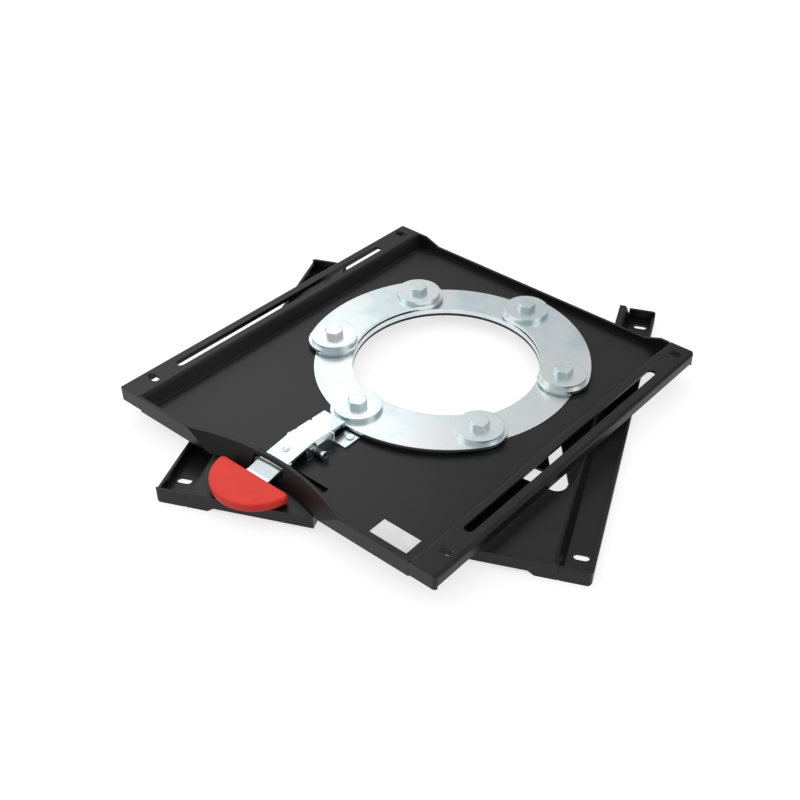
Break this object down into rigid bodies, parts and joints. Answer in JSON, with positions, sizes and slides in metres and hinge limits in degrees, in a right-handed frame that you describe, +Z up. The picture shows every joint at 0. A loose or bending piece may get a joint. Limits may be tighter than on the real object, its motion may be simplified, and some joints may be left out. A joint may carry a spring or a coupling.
{
  "type": "swivel seat base",
  "caption": "Low swivel base between a camper seat and its box: two pressed steel plates turning on a bolted centre ring, with a latch lever and a half-moon grip.",
  "frame": {"origin": "swivel axis at the underside of the lower rails", "axes": "+Z up along the swivel axis, -Y towards the front of the lower plate, +X to its right seen from the front; the lower plate is square to the axes and the upper plate is turned 24.4 degrees clockwise seen from above"},
  "size_m": [0.5433, 0.5502, 0.0394],
  "materials": {
    "black_coat": "satin black powder coat on steel sheet",
    "zinc_plate": "bright bluish zinc plate",
    "zinc_hardware": "bright zinc plate",
    "spring_wire": "dark drawn steel",
    "slide_plastic": "matt black slide plastic",
    "red_grip": "semi-gloss red plastic",
    "label": "blank white film"
  },
  "bodies": {
    "base": {"lower_plate": "black_coat", "centre_ring": "zinc_plate", "lower_slide_ring": "slide_plastic", "spacer_disc_1": "zinc_plate", "thick_washer_1": "zinc_plate", "hex_bolt_1": "zinc_hardware", "hex_nut_1": "zinc_hardware", "spacer_disc_2": "zinc_plate", "thick_washer_2": "zinc_plate", "hex_bolt_2": "zinc_hardware", "hex_nut_2": "zinc_hardware", "spacer_disc_3": "zinc_plate", "thick_washer_3": "zinc_plate", "hex_bolt_3": "zinc_hardware", "hex_nut_3": "zinc_hardware", "spacer_disc_4": "zinc_plate", "thick_washer_4": "zinc_plate", "hex_bolt_4": "zinc_hardware", "hex_nut_4": "zinc_hardware", "spacer_disc_5": "zinc_plate", "thick_washer_5": "zinc_plate", "hex_bolt_5": "zinc_hardware", "hex_nut_5": "zinc_hardware", "spacer_disc_6": "zinc_plate", "thick_washer_6": "zinc_plate", "hex_bolt_6": "zinc_hardware", "hex_nut_6": "zinc_hardware", "retaining_arc_1": "zinc_plate", "upper_slide_pad_1": "slide_plastic", "retaining_arc_2": "zinc_plate", "upper_slide_pad_2": "slide_plastic", "retaining_arc_3": "zinc_plate", "upper_slide_pad_3": "slide_plastic"},
    "turntable": {"upper_plate": "black_coat", "lever_bracket": "zinc_plate", "bracket_rivet_1": "zinc_plate", "bracket_rivet_2": "zinc_plate", "pivot_pin": "zinc_plate", "return_spring": "spring_wire", "label_plate": "label"},
    "lever": {"lever_strip": "zinc_plate", "latch_tongue": "zinc_plate", "handle_grip": "red_grip", "grip_screw_1": "zinc_plate", "grip_screw_2": "zinc_plate"}
  },
  "joints": [
    {"name": "swivel", "type": "hinge", "parent": "base", "child": "turntable", "pos_m": [0, 0, 0], "axis": [0, 0, 1], "continuous": true},
    {"name": "lever_lift", "type": "hinge", "parent": "turntable", "child": "lever", "pos_m": [-0.09456, -0.17046, 0.0264], "axis": [-0.9107, 0.4131, 0], "range_deg": [0, 3.5], "stiffness_Nm_per_rad": 1.5, "springref_deg": -17.19}
  ]
}
